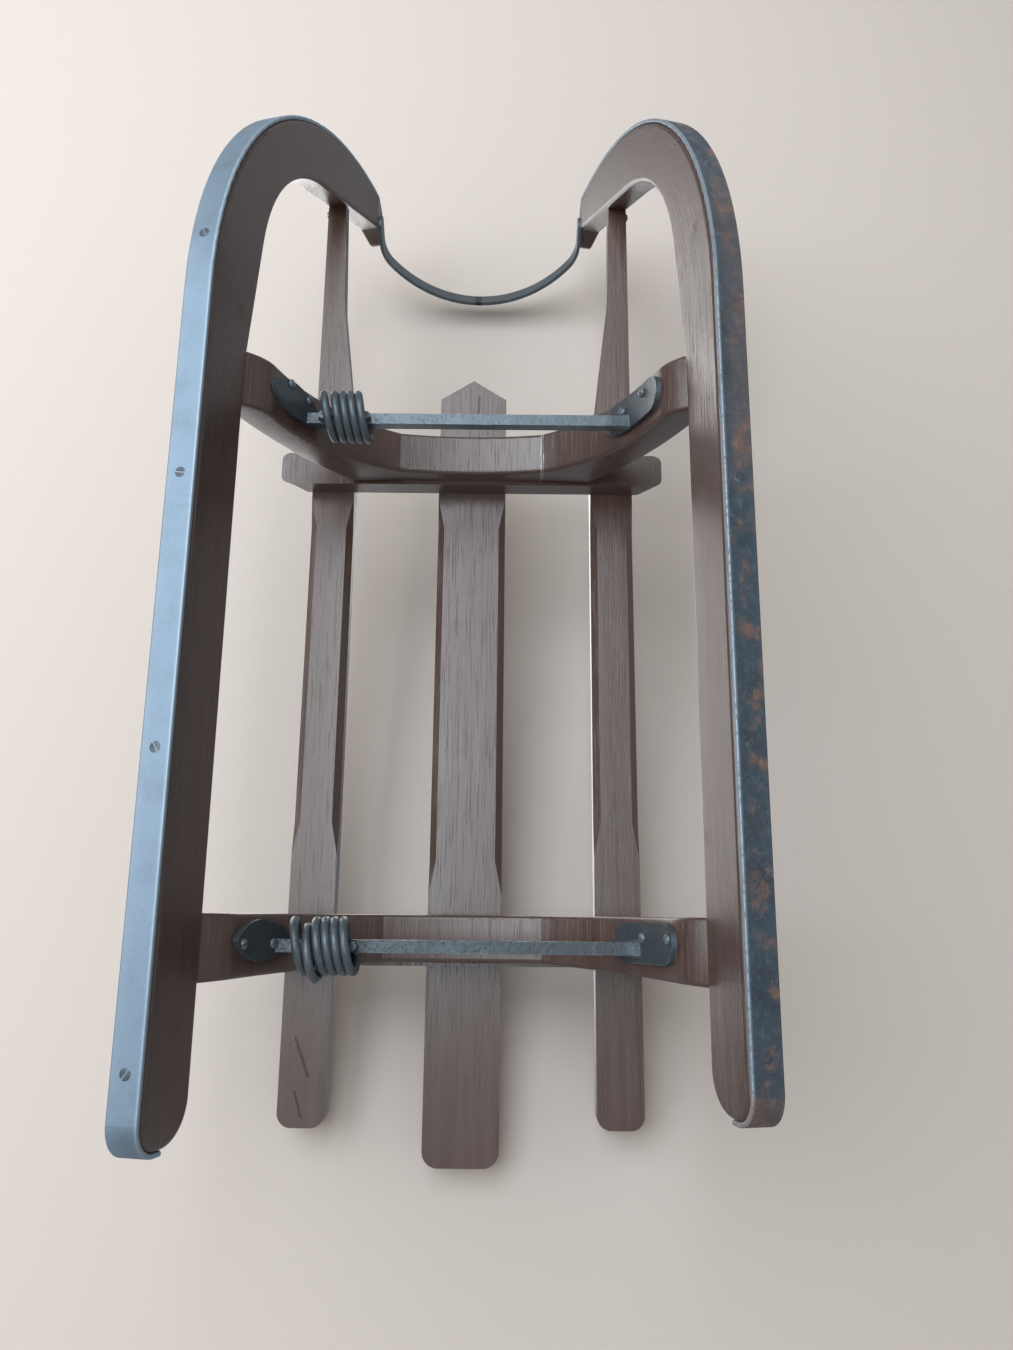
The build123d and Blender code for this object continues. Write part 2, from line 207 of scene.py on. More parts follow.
def make_edge_wear():
    """Mask that is 1 on worn edges, broken up along them."""
    tree, entry, result = new_group(
        "edge_wear",
        [("Position", "Vector", None), ("Width", "Float", 0.0015), ("Amount", "Float", 0.5)],
        [("Mask", "Float", None)])
    beside_edge, on_edge = 0.995, 0.86      # how far the rounded and the real normal agree
    rounded = add_node(tree, "Bevel", {"Radius": entry["Width"]}, samples=4).outputs[0]
    real = add_node(tree, "NewGeometry").outputs["Normal"]
    edge = steps_between(tree, measure_vector(tree, "DOT_PRODUCT", rounded, real),
                         beside_edge, on_edge)
    breakup = add_node(tree, "TexNoise", {"Vector": entry["Position"], "Scale": 85.0,
                                          "Detail": 5.0, "Roughness": 0.7}).outputs["Fac"]
    limit = calculate(tree, "MULTIPLY_ADD", entry["Amount"], -0.5, 0.8)
    broken = steps_between(tree, breakup, limit, calculate(tree, "ADD", limit, 0.1))
    tree.links.new(calculate(tree, "MULTIPLY", edge, broken, clamp=True), result["Mask"])
    return tree


def make_patches():
    """Mask of soft-edged patches from noise, and the noise itself."""
    tree, entry, result = new_group(
        "patches",
        [("Position", "Vector", None), ("Scale", "Float", 20.0), ("Cover", "Float", 0.4),
         ("Softness", "Float", 0.08)],
        [("Mask", "Float", None), ("Noise", "Float", None)])
    noise = add_node(tree, "TexNoise", {"Vector": entry["Position"], "Scale": entry["Scale"],
                                        "Detail": 6.0, "Roughness": 0.62}).outputs["Fac"]
    limit = calculate(tree, "MULTIPLY_ADD", entry["Cover"], -0.4, 0.7)
    mask = steps_between(tree, noise, limit, calculate(tree, "ADD", limit, entry["Softness"]))
    tree.links.new(mask, result["Mask"])
    tree.links.new(noise, result["Noise"])
    return tree


def make_line_mark():
    """Mask of a thin line between two places, such as a crack or a scratch."""
    tree, entry, result = new_group(
        "line_mark",
        [("Position", "Vector", None), ("Start", "Vector", None), ("End", "Vector", None),
         ("Width", "Float", 0.0008), ("Waver", "Float", 0.0015)],
        [("Mask", "Float", None)])
    noise = add_node(tree, "TexNoise", {"Vector": entry["Position"], "Scale": 90.0,
                                        "Detail": 3.0}).outputs["Color"]
    centred = calculate_vector(tree, "SUBTRACT", noise, (0.5, 0.5, 0.5))
    shift = scale_vector(tree, centred, entry["Waver"])
    place = calculate_vector(tree, "ADD", entry["Position"], shift)
    run = calculate_vector(tree, "SUBTRACT", entry["End"], entry["Start"])
    offset = calculate_vector(tree, "SUBTRACT", place, entry["Start"])
    share = calculate(tree, "DIVIDE", measure_vector(tree, "DOT_PRODUCT", offset, run),
                      measure_vector(tree, "DOT_PRODUCT", run, run), clamp=True)
    gap = calculate_vector(tree, "SUBTRACT", offset, scale_vector(tree, run, share))
    mask = within(tree, measure_vector(tree, "LENGTH", gap), entry["Width"], 1.6, 0.6)
    tree.links.new(mask, result["Mask"])
    return tree


def make_band_mark():
    """Mask of a narrow band across the sled's breadth, with an uneven edge. At is its Y."""
    tree, entry, result = new_group(
        "band_mark",
        [("Position", "Vector", None), ("At", "Float", 0.0), ("Width", "Float", 0.001),
         ("Waver", "Float", 0.0006)],
        [("Mask", "Float", None)])
    across = add_node(tree, "SeparateXYZ", {0: entry["Position"]}).outputs[1]
    noise = add_node(tree, "TexNoise", {"Vector": entry["Position"], "Scale": 260.0,
                                        "Detail": 3.0}).outputs["Fac"]
    shift = calculate(tree, "MULTIPLY", calculate(tree, "SUBTRACT", noise, 0.5), entry["Waver"])
    offset = calculate(tree, "SUBTRACT", calculate(tree, "ADD", across, shift), entry["At"])
    mask = within(tree, calculate(tree, "ABSOLUTE", offset), entry["Width"], 1.3, 0.7)
    tree.links.new(mask, result["Mask"])
    return tree


along_runner = make_along_runner()
grain = make_grain()
edge_wear = make_edge_wear()
patches = make_patches()
line_mark = make_line_mark()
band_mark = make_band_mark()


# Materials

def new_material(name):
    """A material with nothing in it but its output node."""
    material = bpy.data.materials.new(name)
    material.use_nodes = True
    tree = material.node_tree
    tree.nodes.clear()
    return material, tree, tree.nodes.new("ShaderNodeOutputMaterial")


def start_material(name):
    """A material with a Principled shader, and the position in the sled's frame."""
    material, tree, output = new_material(name)
    shader = tree.nodes.new("ShaderNodeBsdfPrincipled")
    tree.links.new(shader.outputs[0], output.inputs[0])
    position = tree.nodes.new("ShaderNodeTexCoord").outputs["Object"]
    return material, tree, shader, position


def add_bump(tree, shader, height, distance):
    """Bump from a height in units of the distance."""
    bump = add_node(tree, "Bump", {"Height": height, "Distance": distance, "Strength": 1.0})
    tree.links.new(bump.outputs[0], shader.inputs["Normal"])


def add_patches(tree, position, scale, cover, softness):
    """Patches in a material. Gives the outputs of the group."""
    return use_group(tree, patches, {"Position": position, "Scale": scale, "Cover": cover,
                                     "Softness": softness})


def add_worn_edges(tree, position, width, amount):
    """Mask of worn edges in a material."""
    return use_group(tree, edge_wear, {"Position": position, "Width": width,
                                       "Amount": amount})["Mask"]


def lay_over(tree, colour, mask, share, upper):
    """A colour with an upper one laid over it, by a share of the mask."""
    return mix_colours(tree, calculate(tree, "MULTIPLY", mask, share), colour, upper)


def lay_bands(tree, position, colour, bands):
    """A colour with bands laid over it. They are (at, width, waver, colour)."""
    for at, width, waver, upper in bands:
        mask = use_group(tree, band_mark, {"Position": position, "At": at, "Width": width,
                                           "Waver": waver})["Mask"]
        colour = mix_colours(tree, mask, colour, upper)
    return colour


PAINT_BROWN = (0.070, 0.036, 0.025, 1.0)
PAINT_DARK = (0.055, 0.028, 0.020, 1.0)
PAINT_FADED = (0.125, 0.092, 0.080, 1.0)
BARE_WOOD = (0.300, 0.210, 0.145, 1.0)
DIRT = (0.030, 0.025, 0.022, 1.0)
PUTTY = (0.55, 0.52, 0.48, 1.0)
SHEEN_LIMITS = (0.22, 0.29)     # heights between which the sheen of bent wood falls
SHEEN_FALL = -0.75
PAINT_RELIEF = 0.00022


def make_painted_wood(name, follow_bend=False, fading=0.35, lines=(), bands=()):
    """Worn satin brown paint over wood.

    lines are (start, end, width) of cracks, and bands are (at, width, waver, colour) of joints
    that run across the sled.
    """
    material, tree, shader, position = start_material(name)
    along = position
    if follow_bend:
        along = use_group(tree, along_runner, {"Position": position})["Position"]
    streaks = use_group(tree, grain, {"Position": along, "Fineness": 1.5})
    faded = add_patches(tree, position, scale=7.0, cover=0.5, softness=0.3)["Mask"]
    grime = add_patches(tree, position, scale=30.0, cover=0.25, softness=0.15)["Mask"]
    rubbed = add_worn_edges(tree, position, width=0.0016, amount=0.42)
    chips = add_worn_edges(tree, position, width=0.0011, amount=0.12)
    colour = mix_colours(tree, steps_between(tree, streaks["Shade"], 0.40, 0.60),
                         PAINT_DARK, PAINT_BROWN)
    colour = lay_over(tree, colour, faded, fading, PAINT_FADED)
    colour = lay_over(tree, colour, grime, 0.3, DIRT)
    colour = lay_over(tree, colour, rubbed, 0.5, PAINT_FADED)
    colour = lay_over(tree, colour, chips, 0.8, BARE_WOOD)
    height = streaks["Height"]
    for start, end, width in lines:
        crack = use_group(tree, line_mark, {"Position": position, "Start": start, "End": end,
                                            "Width": width})["Mask"]
        colour = mix_colours(tree, crack, colour, DIRT)
        height = calculate(tree, "MULTIPLY_ADD", crack, -3.0, height)
    colour = lay_bands(tree, position, colour, bands)
    tree.links.new(colour, shader.inputs["Base Color"])
    roughness = add_node(tree, "MapRange", {"Value": streaks["Shade"], "From Min": 0.35,
                                            "From Max": 0.65, "To Min": 0.27,
                                            "To Max": 0.37}).outputs[0]
    tree.links.new(calculate(tree, "MULTIPLY_ADD", grime, 0.2, roughness),
                   shader.inputs["Roughness"])
    up = add_node(tree, "SeparateXYZ", {0: position}).outputs[2]
    fall = SHEEN_FALL if follow_bend else 0.0
    sheen = calculate(tree, "MULTIPLY_ADD", steps_between(tree, up, *SHEEN_LIMITS), fall, 1.0)
    tree.links.new(sheen, shader.inputs["Specular IOR Level"])
    add_bump(tree, shader, height, PAINT_RELIEF)
    return material


STEEL_BLUE = (0.22, 0.29, 0.36, 1.0)
STEEL_DARK = (0.066, 0.088, 0.106, 1.0)
# pale steel of worn edges, also used as the painted highlight along a strip's inner edge
STEEL_WEAR_AND_HIGHLIGHT = (0.36, 0.44, 0.50, 1.0)
RUST_ORANGE = (0.36, 0.165, 0.085, 1.0)
RUST_DARK = (0.150, 0.118, 0.105, 1.0)
STEEL_RELIEF = 0.0002
WORST_RUST_X = 0.13

# Places between which a mask rises from 0 to 1
WORST_RUST_LIMITS = (0.16, 0.08)        # distances from the worst rust
TAIL_RUST_LIMITS = (-0.330, -0.338)     # X at the tail of the left strip
OUTER_HALF_LIMITS = (SOLE_MIDDLE - 0.007, SOLE_MIDDLE + 0.001)
# where the painted highlight along a strip's inner edge begins and is full, outwards from the
# middle
EDGE_HIGHLIGHT_LIMITS = (SOLE_MIDDLE - 0.0072, SOLE_MIDDLE - 0.0092)


def add_strip_rust(tree, along, place, outward, crumbs, rust, tail_rust):
    """Rust on a strip, most of it on the outer half and at the tail.

    Gives its mask, and how orange it is.
    """
    from_worst = calculate(tree, "ABSOLUTE", calculate(tree, "SUBTRACT", place[0], WORST_RUST_X))
    cover = calculate(tree, "MULTIPLY_ADD", steps_between(tree, from_worst, *WORST_RUST_LIMITS),
                      0.6 * rust, 0.66 * rust)
    rusty = add_patches(tree, along, scale=52.0, cover=cover, softness=0.15)
    outer_half = calculate(tree, "MULTIPLY_ADD",
                           steps_between(tree, outward, *OUTER_HALF_LIMITS), 0.80, 0.20)
    spread = calculate(tree, "MULTIPLY", calculate(tree, "MULTIPLY", rusty["Mask"], outer_half),
                       calculate(tree, "MULTIPLY_ADD", crumbs, 0.5, 0.5))
    tail = calculate(tree, "MULTIPLY", steps_between(tree, place[0], *TAIL_RUST_LIMITS), tail_rust)
    tail = calculate(tree, "MULTIPLY", tail, calculate(tree, "MULTIPLY_ADD", crumbs, 0.6, 0.4))
    orange = calculate(tree, "MAXIMUM", steps_between(tree, rusty["Noise"], 0.47, 0.62), tail)
    return calculate(tree, "MAXIMUM", spread, tail), orange


def make_runner_steel(name, dark, rust, pitting, tail_rust=0.0):
    """Flat steel worn smooth where it slides, with a painted highlight in a band along its inner
    edge.

    dark, rust and pitting are the shares of tarnish, rust patches and small pits, and tail_rust
    that of the rust at the tail's corner.
    """
    material, tree, shader, position = start_material(name)
    along = use_group(tree, along_runner, {"Position": position})["Position"]
    place = add_node(tree, "SeparateXYZ", {0: position}).outputs
    outward = calculate(tree, "MULTIPLY_ADD", place[2], tan(LEAN),
                        calculate(tree, "ABSOLUTE", place[1]))
    tarnish = add_patches(tree, along, scale=30.0, cover=0.62, softness=0.30)["Mask"]
    flecks = add_patches(tree, position, scale=420.0, cover=0.42, softness=0.10)["Mask"]
    crumbs = add_patches(tree, position, scale=190.0, cover=0.55, softness=0.30)["Mask"]
    rust_mask, orange = add_strip_rust(tree, along, place, outward, crumbs, rust, tail_rust)
    # painted highlight: a pale band along the strip's inner edge, standing in for light caught
    # there
    painted_edge_highlight = steps_between(tree, outward, *EDGE_HIGHLIGHT_LIMITS)
    bright_edge = add_worn_edges(tree, position, width=0.0018, amount=0.85)
    pits = calculate(tree, "MULTIPLY", flecks, pitting)
    shade = calculate(tree, "MULTIPLY_ADD", tarnish, 0.25, dark)
    shade = calculate(tree, "MULTIPLY_ADD", crumbs, -0.35 * dark, shade, clamp=True)
    rust_colour = mix_colours(tree, orange, RUST_DARK, RUST_ORANGE)
    colour = mix_colours(tree, shade, STEEL_BLUE, STEEL_DARK)
    # lay the painted highlight over the inner edge of the strip
    colour = lay_over(tree, colour, painted_edge_highlight, 0.7, STEEL_WEAR_AND_HIGHLIGHT)
    colour = lay_over(tree, colour, rust_mask, 0.9, rust_colour)
    colour = lay_over(tree, colour, pits, 0.4, RUST_DARK)
    colour = lay_over(tree, colour, bright_edge, 0.6, STEEL_WEAR_AND_HIGHLIGHT)
    tree.links.new(colour, shader.inputs["Base Color"])
    metal = calculate(tree, "MULTIPLY_ADD", rust_mask, -0.5, 0.60)
    tree.links.new(metal, shader.inputs["Metallic"])
    rough = calculate(tree, "MULTIPLY_ADD", rust_mask, 0.20, 0.50)
    tree.links.new(calculate(tree, "MULTIPLY_ADD", pits, 0.1, rough), shader.inputs["Roughness"])
    height = calculate(tree, "MULTIPLY_ADD", rust_mask, 0.6, pits)
    add_bump(tree, shader, height, STEEL_RELIEF)
    return material


IRON_PAINT = (0.062, 0.078, 0.088, 1.0)
IRON_FADED = (0.130, 0.165, 0.185, 1.0)
IRON_WORN = (0.27, 0.34, 0.39, 1.0)


def make_ironwork(name, rust, worn=0.0, bands=(), plates=False):
    """Dark paint on forged iron, dull and pitted, with some rust.

    worn is the share of bare, hammered steel, which the plates of the ties lack, and bands are
    (at, width, waver, colour) of marks across the sled.
    """
    material, tree, shader, position = start_material(name)
    pits = add_patches(tree, position, scale=420.0, cover=0.5, softness=0.3)["Mask"]
    faded = add_patches(tree, position, scale=60.0, cover=0.5, softness=0.25)["Mask"]
    rusty = add_patches(tree, position, scale=75.0, cover=rust, softness=0.12)["Mask"]
    hammered = add_patches(tree, position, scale=260.0, cover=0.55, softness=0.35)["Mask"]
    rubbed = add_worn_edges(tree, position, width=0.0012, amount=0.6)
    bare = calculate(tree, "MULTIPLY", calculate(tree, "MULTIPLY_ADD", hammered, 0.5, 0.5), worn)
    if plates:
        across = add_node(tree, "SeparateXYZ", {0: position}).outputs[1]
        on_rod = steps_between(tree, calculate(tree, "ABSOLUTE", across),
                               PLATE_START + PLATE_BLEND, PLATE_START - PLATE_BLEND)
        bare = calculate(tree, "MULTIPLY", bare, on_rod)
    colour = lay_over(tree, IRON_PAINT, faded, 0.5, IRON_FADED)
    colour = mix_colours(tree, bare, colour, IRON_WORN)
    colour = lay_over(tree, colour, rusty, 0.5, RUST_DARK)
    colour = lay_over(tree, colour, rubbed, 0.6, IRON_WORN)
    colour = lay_bands(tree, position, colour, bands)
    tree.links.new(colour, shader.inputs["Base Color"])
    shader.inputs["Metallic"].default_value = 0.45
    tree.links.new(calculate(tree, "MULTIPLY_ADD", rusty, 0.25, 0.36), shader.inputs["Roughness"])
    add_bump(tree, shader, calculate(tree, "ADD", pits, hammered), STEEL_RELIEF)
    return material


slat_cracks = [             # start, end and width
    ((-0.330, -0.1180, SEAT_UNDERSIDE), (-0.355, -0.1077, SEAT_UNDERSIDE), 0.0011),
    ((-0.365, -0.1170, SEAT_UNDERSIDE), (-0.382, -0.1113, SEAT_UNDERSIDE), 0.0008),
    ((0.339, -0.1235, SEAT_UNDERSIDE), (0.325, -0.1230, SEAT_UNDERSIDE), 0.0009),
]
centre_cracks = [
    ((0.172, 0.0048, SEAT_UNDERSIDE), (0.156, 0.0040, SEAT_UNDERSIDE), 0.0009),
]
front_joints = [            # at, width, waver and colour
    (JOINT_Y, 0.0018, 0.0026, PUTTY), (JOINT_Y, 0.0011, 0.0012, DIRT),
    (-JOINT_Y, 0.0009, 0.0008, PUTTY), (-JOINT_Y, 0.0011, 0.0006, DIRT),
]
rear_joints = [
    (JOINT_Y, 0.0012, 0.0006, DIRT), (-JOINT_Y, 0.0014, 0.0006, DIRT),
]
bow_marks = [(-0.002, 0.006, 0.0008, DIRT)]
painted_wood = make_painted_wood("worn brown paint")
bent_wood = make_painted_wood("worn brown paint on bent wood", follow_bend=True)
front_leg_wood = make_painted_wood("dark brown paint with putty", fading=0.0, bands=front_joints)
rear_leg_wood = make_painted_wood("dark brown paint with joints", fading=0.0, bands=rear_joints)
front_arch_wood = make_painted_wood("worn brown paint with putty", fading=0.9, bands=front_joints)
rear_arch_wood = make_painted_wood("worn brown paint with joints", fading=0.4, bands=rear_joints)
cracked_wood = make_painted_wood("worn brown paint with cracks", fading=0.6, lines=slat_cracks)
centre_wood = make_painted_wood("worn brown paint with a crack", fading=0.6, lines=centre_cracks)
left_steel = make_runner_steel("tarnished runner steel", 0.88, 0.88, 0.7, tail_rust=1.0)
right_steel = make_runner_steel("pale runner steel", 0.0, 0.10, 0.12)
ironwork = make_ironwork("painted iron of the ties", 0.12, worn=0.5, plates=True)
dull_ironwork = make_ironwork("painted iron of the rear tie", 0.15, worn=0.0, plates=True)
bow_iron = make_ironwork("painted iron of the bow", 0.25, worn=0.15, bands=bow_marks)
spring_wire = make_ironwork("spring wire", 0.15, worn=0.25)
screw_steel = make_ironwork("worn screw head", 0.10, worn=0.8)
slat_screw_steel = make_ironwork("tarnished screw head", 0.35, worn=0.2)

node_materials = {
    "runner_left": bent_wood, "runner_right": bent_wood,
    "strip_left": left_steel, "strip_right": right_steel,
    "side_slat_right": cracked_wood, "centre_slat": centre_wood,
    "front_arch_middle": front_arch_wood, "rear_arch_middle": rear_arch_wood,
    "bow": bow_iron, "rear_tie_rod": dull_ironwork,
}
for name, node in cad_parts.items():
    plain = ironwork if name.endswith(("_rod", "_plate")) else painted_wood
    material = node_materials.get(name, plain)
    for slot_index in range(len(node.material_slots)):
        node.material_slots[slot_index].material = material


# Pieces

def add_object(name, data):
    """A new object in the scene."""
    piece = bpy.data.objects.new(name, data)
    bpy.context.collection.objects.link(piece)
    return piece


def finish_piece(piece, material):
    """Give a new piece its material, and let it ride on the sled."""
    piece.data.materials.clear()
    piece.data.materials.append(material)
    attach(piece, "root")


def skin_rings(mesh, rings):
    """Faces between rings of points, from each ring to the next."""
    for ring, following in zip(rings, rings[1:]):
        for corner in range(len(ring)):
            beside = (corner + 1) % len(ring)
            mesh.faces.new((ring[corner], ring[beside], following[beside], following[corner]))


def add_mesh_object(name, mesh):
    """A new object that takes over a bmesh, with its faces turned outwards."""
    bmesh.ops.recalc_face_normals(mesh, faces=mesh.faces)
    data = bpy.data.meshes.new(name)
    mesh.to_mesh(data)
    mesh.free()
    return add_object(name, data)


def curve_point(start, control, end, share):
    """Point on a quadratic curve in the plane across the sled."""
    near = start.lerp(control, share)
    return near.lerp(control.lerp(end, share), share)


def leg_sections():
    """Inner and outer points of a left leg, as (Y, Z), from its joint down to its foot."""
    centre = Vector((HOLLOW_Y, HOLLOW_Z))
    joint_turn = atan2(JOINT_Z - HOLLOW_Z, JOINT_Y - HOLLOW_Y)
    shoulder_turn = atan2(ARCH_TOP - HOLLOW_Z, SHOULDER_Y - HOLLOW_Y)
    ankle_turn = asin((ANKLE_Z - HOLLOW_Z) / HOLLOW_RADIUS)
    out = Vector((cos(LEAN), sin(LEAN)))
    board_edge = Vector((SOLE_HALF_TRACK - BOARD_TOP * sin(LEAN),
                         SOLE_LIFT + BOARD_TOP * cos(LEAN)))
    foot = board_edge - Vector((-sin(LEAN), cos(LEAN))) * FOOT_DEPTH
    foot_inner = foot + out * FOOT_INNER
    foot_outer = foot + out * FOOT_OUTER
    shoulder = Vector((SHOULDER_Y, ARCH_TOP))
    outer_control = shoulder.lerp(foot_outer, 0.5) + Vector(OUTER_BULGE)

    def hollow(turn):
        return centre + Vector((cos(turn), sin(turn))) * HOLLOW_RADIUS

    def outer_side(share):
        return curve_point(shoulder, outer_control, foot_outer, share)

    ankle = hollow(ankle_turn)
    inner_control = ankle + Vector((sin(ankle_turn), -cos(ankle_turn))) * ANKLE_CURVE
    flat_steps, arc_steps, foot_steps = 4, 16, 8
    ankle_share = 0.85                      # where the ankle lies along the outer side
    sections = []
    for step in range(flat_steps):
        share = step / flat_steps
        sections.append((hollow(joint_turn + (shoulder_turn - joint_turn) * share),
                         Vector((JOINT_Y + (SHOULDER_Y - JOINT_Y) * share, ARCH_TOP))))
    for step in range(arc_steps):
        share = step / arc_steps
        sections.append((hollow(shoulder_turn + (ankle_turn - shoulder_turn) * share),
                         outer_side(ankle_share * share)))
    for step in range(foot_steps + 1):
        share = step / foot_steps
        sections.append((curve_point(ankle, inner_control, foot_inner, share),
                         outer_side(ankle_share + (1.0 - ankle_share) * share)))
    return sections


def leg_ring(mesh, inner, outer, bridge_x, side):
    """Points round one section of a leg, with rounded corners."""
    across = (outer - inner).normalized()
    thickness = (outer - inner).length
    front = bridge_x + BRIDGE_HALF_WIDTH
    rear = bridge_x - BRIDGE_HALF_WIDTH - LEG_FLARE * (inner.x - JOINT_Y)
    low, high = LEG_EDGE_ROUND, thickness - LEG_EDGE_ROUND
    corners = [         # middle of the round, across and along the sled, and its first angle
        (high, front - LEG_EDGE_ROUND, 0.0), (low, front - LEG_EDGE_ROUND, pi / 2),
        (low, rear + LEG_EDGE_ROUND, pi), (high, rear + LEG_EDGE_ROUND, 3 * pi / 2),
    ]
    corner_steps = 4
    ring = []
    for middle, x, first in corners:
        for step in range(corner_steps + 1):
            angle = first + pi / 2 * step / corner_steps
            point = inner + across * (middle + LEG_EDGE_ROUND * cos(angle))
            place = (x + LEG_EDGE_ROUND * sin(angle), side * point.x, point.y)
            ring.append(mesh.verts.new(place))
    return ring


def make_leg(place, bridge_x, side_name, side, material):
    """A leg whose foot stands on the top edge of the runner's board."""
    mesh = bmesh.new()
    rings = [leg_ring(mesh, inner, outer, bridge_x, side) for inner, outer in leg_sections()]
    skin_rings(mesh, rings)
    mesh.faces.new(rings[0])
    mesh.faces.new(rings[-1])
    piece = add_mesh_object(place + "_shaped_leg_" + side_name, mesh)
    piece.data.shade_smooth()
    piece.data.set_sharp_from_angle(angle=radians(40.0))
    finish_piece(piece, material)
    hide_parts(place + "_leg_" + side_name)


for side_name, side in (("left", 1), ("right", -1)):
    make_leg("front", FRONT_X, side_name, side, front_leg_wood)
    make_leg("rear", REAR_X, side_name, side, rear_leg_wood)


def coil_points(turns, first_gap, slump):
    """Points of a spring's wire, from the left hook to the right one."""
    steps_per_turn = 16
    length = turns * COIL_PITCH
    pitch = (length - first_gap) / turns
    hook = (-0.0202, -0.012, -0.004)        # heights of the straight end below the coil's top
    slump_turn, slump_reach = 1.5, 0.75     # in turns
    points = [(0.0, 0.0, COIL_RADIUS + drop) for drop in hook]
    y = 0.0
    for step in range(1, turns * steps_per_turn):
        angle = 2 * pi * step / steps_per_turn
        y += (pitch + (first_gap if step <= steps_per_turn else 0.0)) / steps_per_turn
        from_slump = abs(step / steps_per_turn - slump_turn)
        sag = slump * max(0.0, 1.0 - from_slump / slump_reach)
        leaning = -COIL_SLANT * COIL_RADIUS * sin(angle)
        points.append((COIL_RADIUS * sin(angle) - sag, y + leaning, COIL_RADIUS * cos(angle)))
    return points + [(0.0, length, COIL_RADIUS + drop) for drop in reversed(hook)]


def make_spring(place, tie_x, turns, first_gap, slump):
    """A coil of round wire, hooked at both ends through the eyes of its rods.

    first_gap is how much further apart the outer turn stands, and slump how far back the
    second turn hangs.
    """
    curve = bpy.data.curves.new(place + "_coil", "CURVE")
    curve.dimensions = "3D"
    curve.bevel_depth = WIRE_RADIUS
    curve.bevel_resolution = 5
    curve.resolution_u = 6
    curve.use_fill_caps = True
    points = coil_points(turns, first_gap, slump)
    spline = curve.splines.new("NURBS")
    spline.points.add(len(points) - 1)
    for point, (x, along, up) in zip(spline.points, points):
        point.co = (tie_x + x, COIL_START + along, COIL_Z + up, 1.0)
    spline.order_u = 3
    spline.use_endpoint_u = True
    piece = add_object(place + "_coil", curve)
    finish_piece(piece, spring_wire)
    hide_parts(place + "_spring")


HEAD_PROFILE = (        # of a screw's dome, as shares of its radius and height
    (1.0, 0.0), (1.0, 0.25), (0.9, 0.6), (0.65, 0.87), (0.3, 1.0))


def add_screw_head(mesh, place, normal, turn, radius, height):
    """One slotted round head: two halves of a dome beside the slot, on a thin disc."""
    segments = 10
    slot_half = radius * 0.13
    disc_radius, disc_height = radius * 0.97, height * 0.3
    facing = Vector(normal).to_track_quat("Z", "Y").to_matrix().to_4x4()
    seat = Matrix.Translation(place) @ facing @ Matrix.Rotation(turn, 4, "Z")
    disc = []
    for step in range(2 * segments):
        angle = pi * step / segments
        point = Vector((disc_radius * cos(angle), disc_radius * sin(angle), disc_height))
        disc.append(mesh.verts.new(seat @ point))
    mesh.faces.new(disc)
    for side in (1, -1):
        rings = []
        for share, lift in HEAD_PROFILE:
            ring = []
            for step in range(segments + 1):
                angle = pi * step / segments
                x = radius * share * cos(angle)
                y = max(radius * share * sin(angle), slot_half)
                point = Vector((side * x, side * y, height * lift))
                ring.append(mesh.verts.new(seat @ point))
            rings.append(ring)
        skin_rings(mesh, rings)
        mesh.faces.new(rings[-1])


def make_screws(name, screws, material):
    """Screw heads as one piece. screws are (place, normal, turn, size)."""
    mesh = bmesh.new()
    for place, normal, turn, (radius, height) in screws:
        add_screw_head(mesh, place, normal, turn, radius, height)
    finish_piece(add_mesh_object(name, mesh), material)


def on_plate(side, x, z):
    """Place and outward normal on the plate against a leg's hollow side."""
    across = ((HOLLOW_RADIUS - PLATE_THICKNESS) ** 2 - (z - HOLLOW_Z) ** 2) ** 0.5
    place = (x, side * (HOLLOW_Y + across), z)
    return place, (0.0, -side * across, HOLLOW_Z - z)


NECK_SECTIONS = (       # distance before the oval plate, and how much wider the rod is there
    (0.016, 0.0), (0.010, 0.0003), (0.006, 0.0008), (0.003, 0.0014), (-0.0005, 0.0021))


def neck_ring(mesh, tie_x, back, widening):
    """Eight points round a section of a tie rod's neck, which has cut corners."""
    x, z = ROD_HALF + widening, ROD_HALF + 0.3 * widening
    corner = 0.0008 + 0.5 * widening
    outline = ((x, z - corner), (x - corner, z), (corner - x, z), (-x, z - corner),
               (-x, corner - z), (corner - x, -z), (x - corner, -z), (x, corner - z))
    ring = []
    for out, up in outline:
        place, _ = on_plate(1, tie_x, TIE_Z + up)
        ring.append(mesh.verts.new((tie_x + out, place[1] - back, TIE_Z + up)))
    return ring


def make_neck(place, tie_x, material):
    """The forged end of a tie rod, which widens where it meets its oval plate."""
    mesh = bmesh.new()
    rings = [neck_ring(mesh, tie_x, back, widening) for back, widening in NECK_SECTIONS]
    skin_rings(mesh, rings)
    mesh.faces.new(rings[0])
    mesh.faces.new(rings[-1])
    finish_piece(add_mesh_object(place + "_tie_neck", mesh), material)


make_neck("front", FRONT_TIE_X, ironwork)
make_neck("rear", REAR_TIE_X, dull_ironwork)


def on_sole(side, along):
    """Place and outward normal in the middle of a strip, at a distance along it."""
    angle = max(0.0, along - BEND_X) / BEND_RADIUS
    reach = BEND_RADIUS + STRIP_THICKNESS
    x = min(along, BEND_X) + reach * sin(angle)
    up = BEND_RADIUS - reach * cos(angle)
    out = RUNNER_WIDTH / 2
    place = (x, side * (SOLE_HALF_TRACK + out * cos(LEAN) - up * sin(LEAN)),
             SOLE_LIFT + out * sin(LEAN) + up * cos(LEAN))
    return place, (sin(angle), side * sin(LEAN) * cos(angle), -cos(LEAN) * cos(angle))


PLATE_SCREW = (0.0032, 0.0019)      # radius and height of a head
STRIP_SCREW = (0.0036, 0.0005)
SLAT_SCREW = (0.0042, 0.0004)
EDGE_SCREW = (0.0030, 0.0022)       # in the outer edges of the side slats
SIDE_SLAT_EDGE_Y = 0.1284

